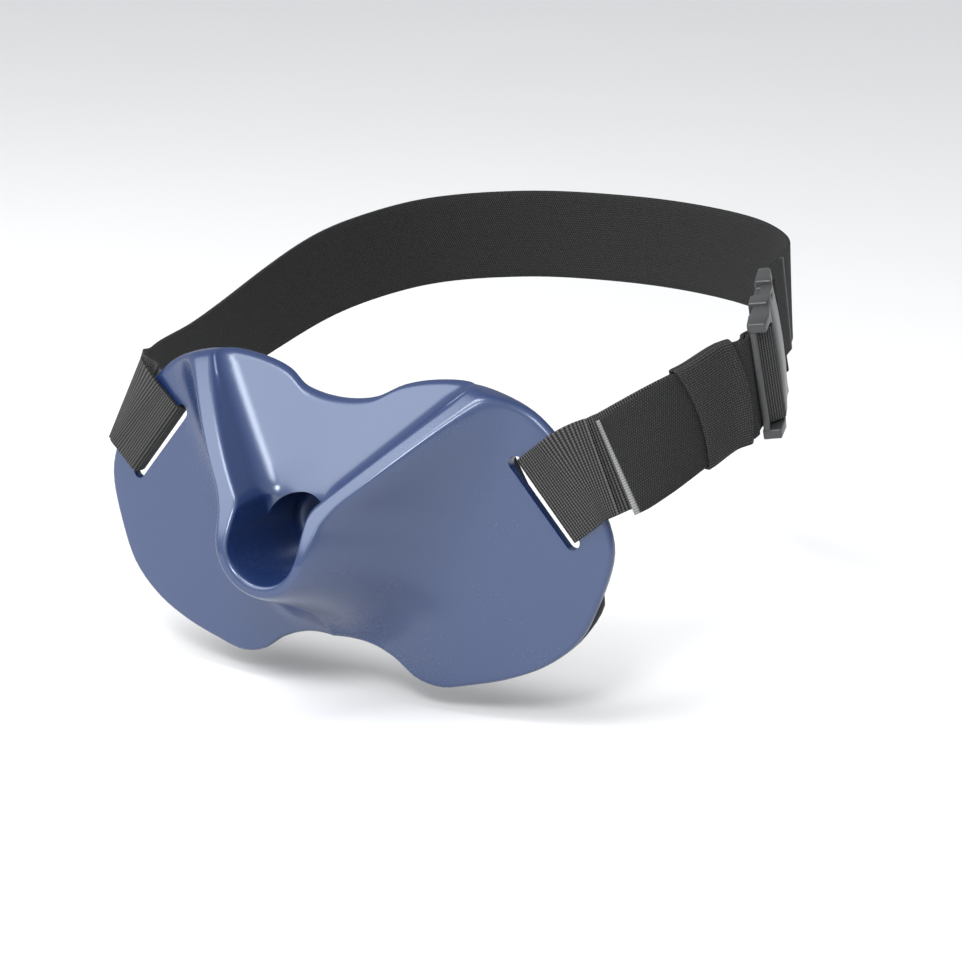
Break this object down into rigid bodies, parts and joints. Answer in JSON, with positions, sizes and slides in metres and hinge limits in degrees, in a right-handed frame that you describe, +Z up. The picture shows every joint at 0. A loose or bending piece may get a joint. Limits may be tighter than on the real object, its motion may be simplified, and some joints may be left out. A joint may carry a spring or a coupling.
{
  "type": "fishing fighting belt",
  "caption": "Moulded waist plate with a forward rod cup under a funnel, a foam back pad, and an adjustable webbing belt with keeper and side-release buckle.",
  "frame": {"origin": "centre of the waist hollow, level with the upper part of the plate", "axes": "+Z up along the wearer, -Y the way the rod cup faces, +X to the wearer's left"},
  "size_m": [0.3489, 0.371, 0.1948],
  "materials": {
    "moulded_blue": "semi-matte moulded polyethylene, navy blue with a soft sheen",
    "foam": "black closed-cell foam sheet",
    "webbing": "black ribbed webbing with heat-sealed ends",
    "buckle_plastic": "black moulded acetal, satin"
  },
  "bodies": {
    "root": {"cup_plate": "moulded_blue", "back_pad": "foam", "strap_left_hip": "webbing", "strap_round_back": "webbing", "keeper_loop": "webbing", "buckle_yoke": "buckle_plastic", "buckle_body": "buckle_plastic"}
  },
  "joints": []
}
